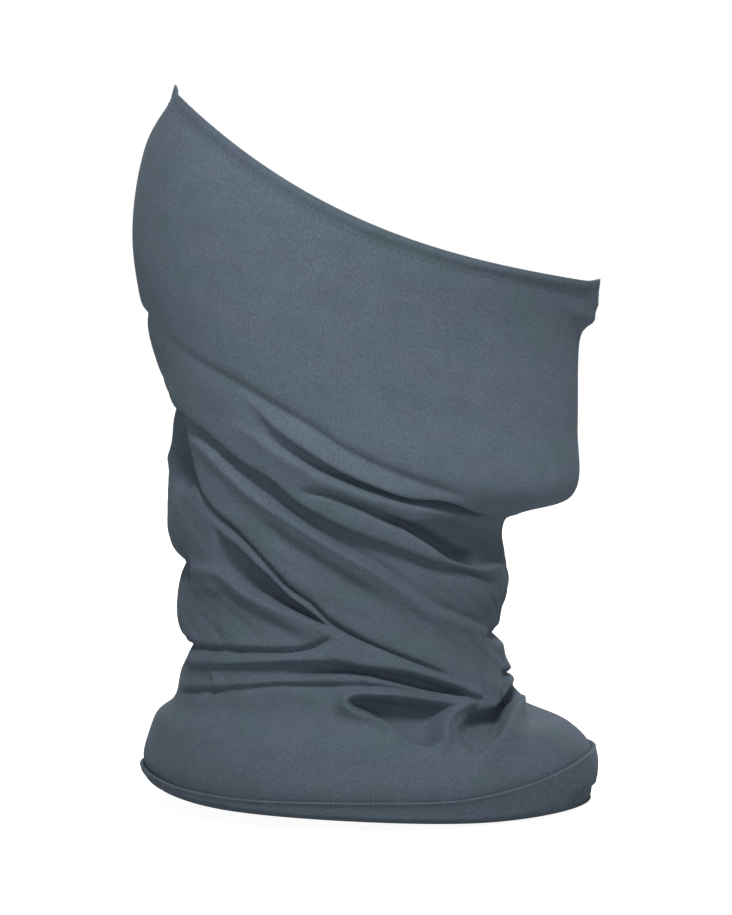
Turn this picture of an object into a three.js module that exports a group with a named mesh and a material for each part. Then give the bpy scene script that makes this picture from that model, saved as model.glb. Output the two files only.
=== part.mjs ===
// Neck gaiter: an open tube of stretch knit worn from the shoulders up over the nose.
// Millimetres. +X is the way the wearer faces, +Y their left, +Z up; the origin is the centre of the bottom
// opening, on the plane that the turned-up hem rests on.
import * as THREE from 'three';
import { LoftGeometry } from 'three/addons/geometries/LoftGeometry.js';

// Cloth, thread and clearances.
const CLOTH = 0.8; // one layer of knit
const GAP = 0.4; // clearance between neighbouring pieces
const THREAD_RADIUS = 0.4;
const EDGE_GAP = 0.02; // clearance between two sections of the tube, in stations

// Turned-up bottom hem: low at the nape, tall under the chin.
const CUFF_CLOTH = 1.6;
const CUFF_GAP = 0.8;
const CUFF_SOLE = 1.0;
const CUFF_BACK_HEIGHT = 6;
const CUFF_FRONT_HEIGHT = 24;

// Top hem and its two rows of thread.
const TOP_HEM_CLOTH = 1.7;
const TOP_HEM_PROUD = 0.4;

// Back seam, sewn inside, a little to the wearer's right of the spine.
const SEAM_ANGLE = THREE.MathUtils.degToRad(205);
const SEAM_WIDTH = 5;
const SEAM_THICKNESS = 1.0;
const SEAM_DEPTH = CLOTH + 0.9; // from the cloth's outer face, clear of the facets of its inner face
const LABEL = { width: 15, thickness: 0.5, from: 0.9, to: 1.9 };
const LABEL_DEPTH = SEAM_DEPTH + SEAM_THICKNESS + 2 * GAP;

const FACETS_ROUND = 48;
const FACETS_THREAD = 5;

// The chin reaches less far from the bottom opening's centre than the nape: this puts the origin midway.
const CENTRING = 1.4;

// The worn shape, as stations up the tube. Each station is one course of the knit: its point at the nape and
// at the throat (x, z), half its width from ear to ear, how far its sides hang below the line between those
// two points, and how much narrower it is in front than behind.
const STATIONS = [
  { name: 'bottom', back: [-108, 1.6], front: [107, 1.6], half: 82, dip: 0, taper: 0.05 },
  { name: 'cuff', back: [-109, 16], front: [108, 18], half: 83, dip: 0, taper: 0.05 },
  { name: 'shoulder', back: [-103, 40], front: [97, 34], half: 77, dip: 0, taper: 0.08 },
  { name: 'neck base', back: [-92, 58], front: [72, 50], half: 65, dip: 0, taper: 0.08 },
  { name: 'low neck', back: [-91, 92], front: [62, 78], half: 62, dip: 2, taper: 0.08 },
  { name: 'mid neck', back: [-94, 135], front: [65, 105], half: 63, dip: 6, taper: 0.1 },
  { name: 'throat', back: [-94, 185], front: [62, 129], half: 65, dip: 12, taper: 0.15 },
  { name: 'chin', back: [-107, 228], front: [94, 144], half: 71, dip: 16, taper: 0.22 },
  { name: 'mouth', back: [-114, 270], front: [99.5, 180], half: 75, dip: 19, taper: 0.25 },
  { name: 'nose', back: [-108, 312], front: [100.5, 226], half: 76, dip: 22, taper: 0.25 },
  { name: 'top edge', back: [-92, 341], front: [109, 250], half: 73, dip: 24, taper: 0.22 },
];
const LAST = STATIONS.length - 1;
const station = (name) => STATIONS.findIndex((s) => s.name === name);

const through = (values) => new THREE.CatmullRomCurve3(STATIONS.map((s) => new THREE.Vector3(...values(s))));
const backLine = through((s) => [s.back[0], 0, s.back[1]]);
const frontLine = through((s) => [s.front[0], 0, s.front[1]]);
const sideLine = through((s) => [s.half, s.dip, s.taper]);

// A point of the cloth's outer face. angle runs round the tube from the front towards +Y; s counts stations.
function facePoint(angle, s) {
  const t = s / LAST;
  const back = backLine.getPoint(t);
  const front = frontLine.getPoint(t);
  const { x: half, y: dip, z: taper } = sideLine.getPoint(t);
  const forward = Math.cos(angle);
  const side = Math.sin(angle);
  return new THREE.Vector3(
    (front.x + back.x) / 2 + ((front.x - back.x) / 2) * forward,
    half * side * (1 - taper * forward),
    (front.z + back.z) / 2 + ((front.z - back.z) / 2) * forward - dip * side * side,
  );
}

// The face point with its outward normal and the direction up the cloth.
function clothFrame(angle, s) {
  const step = 1e-3;
  const low = Math.max(0, s - step);
  const high = Math.min(LAST, s + step);
  const up = facePoint(angle, high).sub(facePoint(angle, low)).normalize();
  const round = facePoint(angle + step, s).sub(facePoint(angle - step, s));
  const out = round.cross(up).normalize();
  return { point: facePoint(angle, s), out, up };
}

// The cloth point moved out along the normal by `out` and up the cloth by `up`.
function offsetPoint(angle, s, out, up = 0) {
  const frame = clothFrame(angle, s);
  return frame.point.addScaledVector(frame.out, out).addScaledVector(frame.up, up);
}

function spread(from, to, count) {
  return Array.from({ length: count + 1 }, (_, i) => from + ((to - from) * i) / count);
}

// A closed ring of cloth or thread, whose cross-section at each angle is section(angle).
function ringGeometry(section) {
  const angles = spread(0, 2 * Math.PI, FACETS_ROUND);
  return new LoftGeometry(angles.map(section));
}

// One section of the tube: a wall between two stations, from offset `outer` in to `inner`.
function wallSection(from, to, rows, outer = 0, inner = -CLOTH) {
  const stops = spread(from, to, rows);
  return (angle) => [
    ...[...stops].reverse().map((s) => offsetPoint(angle, s, outer)),
    ...stops.map((s) => offsetPoint(angle, s, inner)),
  ];
}

// A round thread laid along station s, its axis `out` from the cloth's outer face.
function threadRing(s, out) {
  const turns = spread(0, 2 * Math.PI, FACETS_THREAD).slice(0, FACETS_THREAD);
  return ringGeometry((angle) =>
    turns.map((turn) =>
      offsetPoint(angle, s, out + THREAD_RADIUS * Math.cos(turn), -THREAD_RADIUS * Math.sin(turn)),
    ),
  );
}

// The turned-up hem: a flat sole under the skirt's lower edge, and a band up its outer face.
function cuffSection(angle) {
  const forward = (1 + Math.cos(angle)) / 2;
  const height = CUFF_BACK_HEIGHT + (CUFF_FRONT_HEIGHT - CUFF_BACK_HEIGHT) * forward ** 3;
  const rim = height / STATIONS[station('cuff')].back[1];
  const heights = spread(0.15, rim, 3);
  const grounded = (out, z) => offsetPoint(angle, 0, out).setZ(z);
  return [
    ...[...heights].reverse().map((s) => offsetPoint(angle, s, CUFF_GAP + CUFF_CLOTH)),
    grounded(CUFF_GAP + CUFF_CLOTH, 0),
    grounded(-CLOTH, 0),
    grounded(-CLOTH, CUFF_SOLE),
    grounded(CUFF_GAP, CUFF_SOLE),
    ...heights.map((s) => offsetPoint(angle, s, CUFF_GAP)),
  ];
}

// A flat strip up the inside of the back, between two stations, `depth` in from the outer face.
function stripGeometry(from, to, rows, depth, width, thickness) {
  const sections = spread(from, to, rows).map((s) => {
    const radius = facePoint(SEAM_ANGLE, s).length();
    const reach = width / 2 / radius;
    return [
      offsetPoint(SEAM_ANGLE - reach, s, -depth),
      offsetPoint(SEAM_ANGLE + reach, s, -depth),
      offsetPoint(SEAM_ANGLE + reach, s, -depth - thickness),
      offsetPoint(SEAM_ANGLE - reach, s, -depth - thickness),
    ];
  });
  return new LoftGeometry(sections, { capStart: true, capEnd: true });
}

const seamStrip = (from, to) => stripGeometry(from, to, 12, SEAM_DEPTH, SEAM_WIDTH, SEAM_THICKNESS);

const KNIT = { color: 0x5e6a76, roughness: 0.9, metalness: 0 };
const THREAD = { color: 0x4f5a65, roughness: 0.7, metalness: 0 };
const SATIN = { color: 0xe6e6e2, roughness: 0.45, metalness: 0 };

function piece(name, geometry, look) {
  const mesh = new THREE.Mesh(geometry, new THREE.MeshStandardMaterial(look));
  mesh.name = name;
  return mesh;
}

// Where the tube is divided: the skirt stays on the shoulders, the gather takes up the slack round the neck,
// and the face cover is what the wearer pulls up and down.
const SKIRT_TOP = station('neck base');
const FACE_BOTTOM = station('throat') + 0.4;
const HEM_BOTTOM = station('nose') + 0.55;
const HEM_STITCHES = HEM_BOTTOM + 0.12;
const HEM_INSIDE = TOP_HEM_PROUD - TOP_HEM_CLOTH;

const skirt = new THREE.Group();
skirt.add(
  piece('shoulder_skirt', ringGeometry(wallSection(0, SKIRT_TOP - EDGE_GAP, 10)), KNIT),
  piece('bottom_cuff', ringGeometry(cuffSection), KNIT),
  piece('bottom_cuff_thread', threadRing(0.3, CUFF_GAP + CUFF_CLOTH + GAP + THREAD_RADIUS), THREAD),
  piece('back_seam_skirt', seamStrip(0.15, SKIRT_TOP - 0.05), THREAD),
  piece(
    'care_label',
    stripGeometry(LABEL.from, LABEL.to, 4, LABEL_DEPTH, LABEL.width, LABEL.thickness),
    SATIN,
  ),
);

const gather = new THREE.Group();
gather.add(
  piece('neck_gather', ringGeometry(wallSection(SKIRT_TOP, FACE_BOTTOM - EDGE_GAP, 12)), KNIT),
  piece('back_seam_neck', seamStrip(SKIRT_TOP + 0.05, FACE_BOTTOM - 0.05), THREAD),
);

const face = new THREE.Group();
face.add(
  piece('face_cover', ringGeometry(wallSection(FACE_BOTTOM, HEM_BOTTOM - EDGE_GAP, 10)), KNIT),
  piece('top_hem', ringGeometry(wallSection(HEM_BOTTOM, LAST, 3, TOP_HEM_PROUD, HEM_INSIDE)), KNIT),
  piece('top_hem_needle_thread', threadRing(HEM_STITCHES, 2 * TOP_HEM_PROUD + THREAD_RADIUS), THREAD),
  piece('top_hem_looper_thread', threadRing(HEM_STITCHES, HEM_INSIDE - GAP - THREAD_RADIUS), THREAD),
  piece('back_seam_face', seamStrip(FACE_BOTTOM + 0.05, HEM_BOTTOM - 0.1), THREAD),
);

const gaiter = new THREE.Group();
gaiter.add(skirt, gather, face);
gaiter.position.x = CENTRING;

export default gaiter;
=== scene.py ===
"""A neck gaiter of heather grey-blue jersey in its worn shape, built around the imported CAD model.

The cloth is one continuous sheet: a smooth tube through a few stations, then its folds, each a path round
the tube with a crest and a crease. Lengths are millimetres until a mesh is made. Angles go round the tube
from the front, negative towards the wearer's right, which is the side the camera sees. +X is the way the
wearer faces.
"""

import math

import bpy
import numpy as np
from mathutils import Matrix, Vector


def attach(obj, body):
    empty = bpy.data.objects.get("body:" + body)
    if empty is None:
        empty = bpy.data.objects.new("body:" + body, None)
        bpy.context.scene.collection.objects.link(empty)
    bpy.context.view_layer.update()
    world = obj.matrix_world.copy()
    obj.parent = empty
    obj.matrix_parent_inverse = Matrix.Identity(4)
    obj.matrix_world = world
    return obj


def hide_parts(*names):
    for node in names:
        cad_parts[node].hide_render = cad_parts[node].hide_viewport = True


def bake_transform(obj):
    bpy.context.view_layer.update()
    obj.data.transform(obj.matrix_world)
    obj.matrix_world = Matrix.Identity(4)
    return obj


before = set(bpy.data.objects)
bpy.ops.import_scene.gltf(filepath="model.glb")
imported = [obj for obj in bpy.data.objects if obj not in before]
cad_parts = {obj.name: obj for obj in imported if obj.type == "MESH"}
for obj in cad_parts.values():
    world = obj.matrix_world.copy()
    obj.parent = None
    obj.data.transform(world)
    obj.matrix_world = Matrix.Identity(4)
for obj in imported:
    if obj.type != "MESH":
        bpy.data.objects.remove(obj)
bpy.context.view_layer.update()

MM = 0.001

# Grid of the cloth: columns round the tube, rows up it. The inner skin has half as many of each.
COLUMNS = 332
ROWS = 236
CLOTH = 0.9  # thickness of one layer
SAG_BACK = 0.3  # how much more the sides sag towards the nape than towards the nose
CENTRING = 1.4  # the origin is the middle of the whole length, not of the bottom opening

# The worn shape. Each station is one course of the knit: its point at the nape and at the throat (x, z), half
# its width, how far its sides hang below the line between those points, and how much narrower it is in front.
STATIONS = [
    # nape         throat        half  dip  taper
    ((-108, 1.6), (106, 1.6), 82, 0, 0.05),
    ((-109, 16), (107.5, 22), 83, 0, 0.05),
    ((-104, 40), (97, 36), 77, 0, 0.08),
    ((-93, 54), (71.5, 50), 65, 0, 0.08),
    ((-94, 95), (61, 81), 62, 2, 0.08),
    ((-98, 137), (66, 105), 63, 6, 0.1),
    ((-95, 182), (65.5, 136), 65, 12, 0.15),
    ((-107, 228), (96.5, 147.5), 71, 16, 0.22),
    ((-114, 270), (99.5, 180), 75, 19, 0.25),
    ((-108, 312), (100.5, 226), 76, 22, 0.25),
    ((-92, 338.5), (108.5, 248.5), 73, 21.5, 0.22),
]


def fold(path, rise, drop, above=8, steep=2, below=3, lap=0, crease="below", fade=0.12):
    """A fold of the cloth. path: (angle in degrees, height) points along its crest. The crest stands out by
    rise; beside it, on the crease side, the cloth sinks by drop. Either may be a list that changes along
    the path. above is the width of its gentle flank, steep that of the wall between crest and crease, and
    below how far the cloth beyond takes to come back. lap carries the crest over the crease. fade: share of
    the path over which the fold starts and dies out, or one for each."""
    return dict(path=path, rise=rise, drop=drop, above=above, steep=steep, below=below, lap=lap,
                crease=crease, fade=fade)


def hollow(upper, lower, depth, top=1.5, bottom=2.5, fade=8):
    """A sunken panel between two paths of (angle, height). top and bottom are how far its walls take to go
    down; depth and top may be lists that change along it. fade: degrees its ends take, or one for each."""
    return dict(upper=upper, lower=lower, depth=depth, top=top, bottom=bottom, fade=fade)


# Lines of the wearer's right side, from the jaw down: crests of folds, and edges of what is sunken between.
CHEEK_LINE = [(-164, 238), (-150, 228), (-135, 216), (-125, 209), (-117, 202), (-110, 195), (-104, 189),
              (-98, 182), (-93, 176), (-85, 169), (-75, 162), (-64, 156), (-54, 151)]
JAW_EDGE = [(-126, 202), (-119, 195), (-112, 184), (-106, 177), (-95, 166), (-84, 158), (-73, 152),
            (-61, 149), (-44, 143), (-24, 139)]
JAW_ROLL = [(-134, 190), (-121, 182), (-110, 172), (-101, 164), (-93, 159), (-84, 154), (-73, 149),
            (-58, 144), (-44, 141), (-30, 138)]
POCKET_EDGE = [(-104, 158), (-95, 156), (-84, 150), (-75, 145), (-68, 141), (-60, 136), (-52, 131)]
POCKET_TOP = POCKET_EDGE[:4] + [(-68, 142), (-60, 141), (-51, 140), (-39, 137), (-24, 136), (-6, 136)]
POCKET_LIP = [(-104, 155), (-95, 152), (-84, 146), (-75, 140), (-67, 136), (-59, 130), (-50, 123),
              (-38, 118), (-20, 115), (-6, 114)]
SLIT_TOP = [(-75, 146), (-67, 142), (-59, 137.5), (-50, 132), (-42, 128), (-34, 125), (-28, 123)]
SLIT_FLOOR = POCKET_LIP[3:7] + [(-42, 120), (-34, 118), (-28, 117)]
SLANT_EDGE = [(-166, 205), (-157, 196), (-146, 188), (-134, 178), (-125, 169), (-113, 160), (-102, 148),
              (-87, 137), (-73, 129), (-55, 119), (-33, 112), (-22, 107)]
SLANT_RIDGE = [(-152, 182), (-140, 174), (-132, 166), (-121, 155), (-111, 146), (-101, 137), (-91, 128),
               (-77, 116), (-68, 107), (-54, 96), (-34, 87), (-14, 79)]
DIAGONAL = [(-160, 204), (-153, 191), (-150, 177), (-146, 164), (-141, 153), (-133, 144), (-123, 135),
            (-112, 121), (-105, 111), (-97, 103), (-90, 94), (-80, 86), (-69, 79), (-55, 71), (-36, 60)]
UNDER_RIDGE = [(-136, 139), (-123, 128), (-112, 115), (-105, 106), (-97, 98), (-90, 90)]
PANEL_EDGE = [(-152, 113), (-142, 116), (-130, 114), (-120, 106), (-108, 99), (-97, 93), (-88, 86),
              (-78, 79)]
LEVEL_LINE = [(-176, 80), (-160, 80), (-147, 80), (-131, 81), (-106, 82), (-98, 84), (-90, 88)]
TONGUE_EDGE = [(-176, 70), (-160, 70), (-140, 72), (-123, 74), (-106, 76), (-91, 76), (-81, 73.5),
               (-65, 69.5), (-50, 62.5), (-42, 57), (-37, 54)]
TONGUE_UNDER = [(-176, 60), (-142, 62), (-115, 66), (-100, 68), (-88, 69), (-80, 68), (-70, 64), (-62, 61),
                (-51, 57.5), (-42, 54.5)]
SKIRT_LINE = [(-172, 56), (-161, 57), (-142, 60), (-115, 65), (-104, 65.5), (-94, 65.5), (-86, 65.5),
              (-80, 65), (-72, 63.5), (-64, 61.5), (-56, 59), (-48, 56.5)]
LOOP_CREST = [(-34, 51.5), (-46, 52.5), (-54, 54.5), (-64, 57.5), (-72, 59.5), (-79, 60.5), (-84, 61),
              (-88, 60), (-90.5, 56), (-89, 52), (-86, 49), (-82, 46.5), (-79, 43.5), (-77, 40.5)]
LOOP_EDGE = [(-89, 56), (-88, 58), (-84, 59), (-79, 58.5), (-72, 57), (-64, 55), (-54, 52.5), (-44, 51),
             (-38, 50)]
LOOP_FLOOR = [(-89, 55), (-87, 52), (-85, 50.5), (-82, 48.5), (-80, 46.5), (-78.5, 44), (-77, 41),
              (-75, 38), (-72, 36.5), (-69, 38), (-65, 42), (-61, 46), (-55, 50), (-46, 51)]
UPRIGHT = [(-43, 51.5), (-49, 50.5), (-56, 48), (-62, 44), (-67, 39), (-71, 33)]
SLOT_UPPER = [(-66, 37), (-62, 41), (-56, 45), (-49, 48), (-42, 49.5), (-31, 50), (-24, 52), (-12, 55),
              (8, 58)]
SLOT_RIDGE = [(-64, 29), (-57, 34), (-50, 38), (-40, 42), (-27, 46), (-14, 49), (4, 51)]

# Their numbers are rise, drop, above, steep, below and lap.
RIGHT_FOLDS = [
    fold(CHEEK_LINE, 0.5, [1, 1.5, 2.5, 2.5, 2.5, 2], 12, 2.2, 4, fade=(0.3, 0.12)),
    fold(JAW_EDGE, [1, 2.5, 3.5, 3.5, 3, 2], [0, 0.5, 1.5, 2.5, 3, 3], 4, 1.8, 3, 1.5, fade=(0.25, 0.1)),
    fold(JAW_ROLL, [1, 2.5, 3.5, 3.5, 3, 2], [0, 0.5, 0.5, 1], 5, 1.8, 2.5, 0.8, "above", fade=(0.2, 0.1)),
    fold(POCKET_EDGE, [0.5, 1.5, 2, 2, 1.5, 1], [1.5, 3, 3, 2], 6, 1.6, 2.5, 1.2, fade=(0.12, 0.3)),
    fold(POCKET_LIP, [0.5, 1.5, 2.5, 2.5, 1.5], 0.3, 5, 2, 2.5, 0.8, "above"),
    fold(SLANT_EDGE, [2, 2.5, 2, 2, 2, 1.5], [4, 4, 3, 2, 3, 4, 3], 8, 1.5, 2.2, 3.5, fade=(0.05, 0.12)),
    fold(SLANT_RIDGE, [1.5, 3.5, 5.5, 5.5, 4.5, 3, 2], [0.5, 1, 2, 2, 2, 3], 4, 2.6, 3, 0.8, "above",
         fade=(0.12, 0.1)),
    fold(DIAGONAL, [2, 2.5, 2.5, 2.5, 2, 1.5], [8, 6, 4, 4, 4, 4, 3], 8, 1.5, 2, 3, fade=(0.04, 0.1)),
    fold(UNDER_RIDGE, [1, 2, 2.5, 2.5, 1.5], 0.5, 2, 1.6, 2.5, 0.8),
    fold(PANEL_EDGE, [1.5, 3, 4, 4, 3, 2], [0, 0.5, 1, 1.5, 1], 5, 2, 3, 1.2, "above"),
    fold(LEVEL_LINE, [0.5, 1, 1.5, 1.5, 1], [2, 4, 4, 4, 3], 6, 1.5, 2.2, 1.5, fade=(0.1, 0.12)),
    fold(TONGUE_EDGE, [1.5, 2, 2.5, 3.5, 4, 4, 3.5], [0.5, 1, 1.5, 2.5, 3, 3, 2], 4.5, 1.8, 3, 1.5,
         fade=(0.1, 0.05)),
    fold(SKIRT_LINE, [1, 1, 0.5, 0], [2, 2.5, 3, 4, 4, 3], 5, 1.2, 1.4, 0.5),
    fold(LOOP_CREST, [3, 4.5, 5, 5.5, 6, 6, 5, 3], 0, 2.4, 2, 2.5, 0, fade=(0.08, 0.15)),
    # the short ridge that ends the loop, and the one beyond the slot beside it
    fold(UPRIGHT, [3, 4.5, 5, 4.5, 3], 0, 2.2, 2, 3, 0, fade=(0.1, 0.2)),
    fold(SLOT_RIDGE, [2, 4, 6, 6.5, 5, 2], [0, 1, 2, 2], 3.5, 1.8, 3, 1.5, "above"),
    # the free end of the front layer
    fold([(-11, 70), (-14, 66), (-20, 59), (-27, 52)], 2, 3, 5, 1.4, 2.5, 0.8, fade=(0.2, 0.15)),
    # short upright puckers towards the nape
    fold([(-142, 69), (-140, 64), (-138, 57)], 1.5, 1.5, 3, 1.5, 2.5, 0, fade=0.3),
    fold([(-134, 108), (-133, 95), (-133, 82)], 0.6, 0.8, 5, 3, 4, 0, fade=(0.3, 0.2)),
]

# Their numbers are depth, top, bottom and fade.
RIGHT_HOLLOWS = [
    # between the nape and the upright edge of the front layer
    hollow([(-179, 196), (-166, 203), (-154, 198), (-153, 190), (-150, 177), (-146, 164), (-141, 153)],
           [(-179, 172), (-168, 155), (-155, 148), (-148, 150), (-141, 150)],
           [1, 5, 11, 12, 10, 6, 2], 3, 12, (9, 4)),
    # the wedge the jaw hangs over, the pocket below it at the throat, and the slit along that pocket's lip
    hollow(JAW_EDGE, JAW_ROLL, [0.5, 2, 4, 6, 8, 9, 8, 5], [8, 4, 1.5, 1.5, 1.5], 2.5, (20, 8)),
    hollow(POCKET_TOP, POCKET_LIP, [1, 1.5, 2, 4, 5, 6, 6, 5, 3], [1.5, 1.5, 1.5, 4, 8, 12], 1.5, (8, 20)),
    hollow(SLIT_TOP, SLIT_FLOOR, [2, 6, 10, 11, 8], 3, 1.5, 8),
    # the valley beside the slanting ridge
    hollow(SLANT_EDGE, SLANT_RIDGE, [0.5, 2, 4, 5, 4, 2, 1, 0, 0], 1.5, 3),
    # the soft hollow in the broad panel
    hollow([(-120, 150), (-96, 127), (-70, 103)], [(-120, 140), (-96, 113), (-70, 88)], 1.8, 5, 7, 14),
    # the pocket between the thin ridge and the side panel, and that panel
    hollow(UNDER_RIDGE, PANEL_EDGE, [2, 6, 9, 10, 7, 3], 1.5, 2),
    hollow([(-152, 106), (-130, 108), (-108, 94), (-92, 86)],
           [(-152, 82), (-130, 83), (-108, 84), (-92, 85)], [0.5, 1.5, 1.5, 1], 4, 3, 6),
    # under the tongue
    hollow(TONGUE_EDGE, TONGUE_UNDER, [0, 0.5, 1, 3, 5.5, 7, 6], 1.5, 2),
    # inside the loop, and the slot beside it
    hollow(LOOP_EDGE, LOOP_FLOOR, [5, 9, 9, 8, 7], 1.5, 6, 2),
    hollow(SLOT_UPPER, SLOT_RIDGE, [3, 6, 10, 14, 14, 10], 1.5, 1.2, (6, 12)),
]

# Level creases that pinch the nape, and the roll between the upper two.
NAPE_FOLDS = [
    fold([(-215, 236), (-195, 238), (-180, 239), (-160, 236)], 0.5, 2.5, 6, 3, 4),
    fold([(-214, 186), (-195, 195), (-180, 199), (-166, 204)], 0.5, 10, 6, 3.5, 4.5),
    fold([(-214, 158), (-195, 163), (-180, 165), (-162, 164)], 2.5, 0, 8, 8, 3, fade=0.3),
    fold([(-222, 116), (-195, 121), (-165, 123), (-146, 120)], 0.5, 8.5, 9, 5.5, 8),
    fold([(-224, 72), (-198, 79), (-180, 81), (-156, 82)], 0.5, 13, 5, 3.5, 5.5),
]

# The wearer's left, from the jaw down.
LEFT_JAW = [(24, 139), (56, 150), (82, 163), (106, 181), (128, 200)]
LEFT_ROLL = [(32, 133), (60, 143), (88, 155), (112, 171), (138, 188)]
LEFT_SLANT = [(18, 112), (46, 120), (72, 132), (98, 146), (122, 164), (148, 184), (168, 198)]
LEFT_RIDGE = [(22, 90), (50, 101), (78, 115), (104, 130), (130, 149), (154, 170)]
LEFT_DIAGONAL = [(14, 76), (44, 82), (74, 94), (98, 107), (124, 126), (150, 147), (172, 166)]
LEFT_PANEL = [(80, 82), (100, 90), (120, 103), (142, 122)]
LEFT_TONGUE = [(38, 54), (66, 60), (94, 68), (120, 72), (150, 70), (176, 68)]

LEFT_FOLDS = [
    fold([(36, 146), (56, 154), (84, 172), (110, 193), (138, 216), (166, 236)], 0.5, 1.8, 12, 3, 5),
    fold(LEFT_JAW, [1, 2.5, 3, 2], [3, 3, 2, 1], 4, 2, 3, 2.5),
    fold(LEFT_ROLL, [1.5, 3.5, 3, 1.5], 0.6, 6, 2, 2.5, 1, "above"),
    fold(LEFT_SLANT, [1.5, 2, 2.5, 2.5, 2], [4, 4, 3, 3, 4], 8, 1.6, 2.4, 3),
    fold(LEFT_RIDGE, [2, 3, 3.5, 3, 1.5], [2, 1, 0.5], 6, 2, 3, 1.2, "above"),
    fold(LEFT_DIAGONAL, [2, 2.5, 2.5, 3, 3], [4, 4, 4, 5, 6], 10, 1.6, 2.2, 3.5),
    fold(LEFT_PANEL, [2, 4, 3.5, 2], 1, 6, 2, 3, 1, "above"),
    fold([(44, 66), (70, 73), (92, 80), (116, 83), (144, 83), (172, 83)],
         [1, 2, 2, 1], [3, 4, 4, 3], 6, 1.6, 2.4, 1.5),
    fold(LEFT_TONGUE, [2.5, 3.5, 3.5, 3, 2], [3, 3, 2.5, 1.5], 5, 2, 3, 1.5),
    fold([(40, 46), (60, 46), (84, 50), (108, 53)], 2, 2.5, 4, 2.5, 4, 1),
    fold([(10, 56), (26, 50), (42, 42), (54, 34)], 3, 2.5, 5, 2.5, 4, 1, "above"),
]

LEFT_HOLLOWS = [
    hollow(LEFT_JAW, LEFT_ROLL, [3, 5, 5, 3, 1.5], fade=14),
    hollow([(76, 92), (98, 102), (124, 122), (146, 140)], LEFT_PANEL, [3, 6, 5, 2], fade=14),
    hollow(LEFT_TONGUE, [(38, 48), (66, 52), (94, 58), (120, 60), (150, 60)], [4, 4, 3, 1], 1.5, 4, 16),
]

THROAT_FOLDS = [
    # the flap over the bridge of the nose
    fold([(-34, 240), (-16, 234), (0, 231.5), (16, 234), (34, 240)], 6.5, 0.5, 9, 3.5, 4, 0, fade=0.45),
    fold([(-24, 246), (-10, 241), (0, 240), (10, 241), (24, 246)], 2.5, 0, 5, 4, 3, 0, fade=0.45),
    # the soft turn under the chin
    fold([(-40, 143), (-18, 140), (0, 138.5), (18, 140), (40, 143)], 1, 1, 8, 3, 6, 0, fade=0.3),
    # the two pinches below it
    fold([(-26, 86), (-12, 85), (10, 85), (30, 88)], 1, 4, 8, 3, 5, 1, fade=0.3),
    fold([(-13, 66), (-6, 63), (8, 62.5), (28, 67)], 3, 3.5, 4, 1.3, 1.8, 1, fade=(0.15, 0.3)),
    # the small piece behind the free end, and the lip of the skirt's uppermost fold
    fold([(-16, 55), (-8, 57), (4, 58), (18, 60)], 3, 1.5, 2.5, 1.5, 2, 0, fade=(0.2, 0.3)),
    fold([(-34, 41), (-20, 45), (-8, 47.5), (6, 48.5), (24, 50)], 2, 6.5, 4, 1.4, 4, 1.2, fade=0.3),
    # the swell above the free end
    fold([(-26, 80), (-8, 75), (8, 75), (28, 80)], 2.8, 0, 5, 5, 3, 0, fade=0.4),
]

ALL_FOLDS = RIGHT_FOLDS + NAPE_FOLDS + LEFT_FOLDS + THROAT_FOLDS
ALL_HOLLOWS = RIGHT_HOLLOWS + LEFT_HOLLOWS


# ---- curves and noise

def along(points, t):
    """Catmull-Rom curve through the rows of points, at t from 0 to 1."""
    points = np.asarray(points, float)
    last = len(points) - 1
    place = np.clip(t, 0, 1) * last
    i = np.minimum(place.astype(int), last - 1)
    w = (place - i)[..., None]
    ends = np.vstack([2 * points[0] - points[1], points, 2 * points[-1] - points[-2]])
    p0, p1, p2, p3 = (ends[i + k] for k in range(4))
    square = 2 * p0 - 5 * p1 + 4 * p2 - p3
    cube = 3 * p1 - p0 - 3 * p2 + p3
    return 0.5 * (2 * p1 + (p2 - p0) * w + square * w**2 + cube * w**3)


def ease(x):
    """Smoothly from 0 to 1 as x does the same."""
    x = np.clip(x, 0, 1)
    return x * x * (3 - 2 * x)


def within(x, low, high, soft):
    """0 outside low and high, easing to 1 inside over soft, one width or two."""
    soft_low, soft_high = np.broadcast_to(soft, 2)
    return ease((x - low) / soft_low) * ease((high - x) / soft_high)


def bell(x, middle, width, power=2):
    """1 at the middle, dying out over the width; a higher power has a flatter top."""
    return np.exp(-np.abs((x - middle) / width) ** power)


def unit(v):
    return v / np.maximum(np.linalg.norm(v, axis=-1, keepdims=True), 1e-9)


def steps(points, axis=0):
    """Distances between neighbouring points along an axis."""
    return np.linalg.norm(np.diff(points, axis=axis), axis=-1)


def running(lengths):
    """The total so far at each step, from 0."""
    return np.concatenate([[0], np.cumsum(lengths)])


def lattice_noise(seed, x, y, period):
    """Smooth noise between -1 and 1 on points x, y in lattice cells; x repeats after period cells."""
    values = np.random.default_rng(seed).uniform(-1, 1, (period, 256))
    i, j = np.floor(x).astype(int), np.floor(y).astype(int)
    u, v = ease(x - i), ease(y - j)
    at = lambda a, b: values[a % period, b % 256]
    low = at(i, j) * (1 - u) + at(i + 1, j) * u
    high = at(i, j + 1) * (1 - u) + at(i + 1, j + 1) * u
    return low * (1 - v) + high * v


# ---- the smooth tube

def tube_point(angle, s):
    """A point of the smooth tube's outer face, at an angle in radians and a share s of the stations."""
    back = along([row[0] for row in STATIONS], s)
    front = along([row[1] for row in STATIONS], s)
    half, dip, taper = np.moveaxis(along([row[2:] for row in STATIONS], s), -1, 0)
    forward, side = np.cos(angle), np.sin(angle)
    x = (front[..., 0] + back[..., 0]) / 2 + (front[..., 0] - back[..., 0]) / 2 * forward + CENTRING
    y = half * side * (1 - taper * forward)
    z = (front[..., 1] + back[..., 1]) / 2 + (front[..., 1] - back[..., 1]) / 2 * forward
    z = z - dip * side**2 * (1 - SAG_BACK * forward)
    return np.stack([x, y, z], -1)


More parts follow.
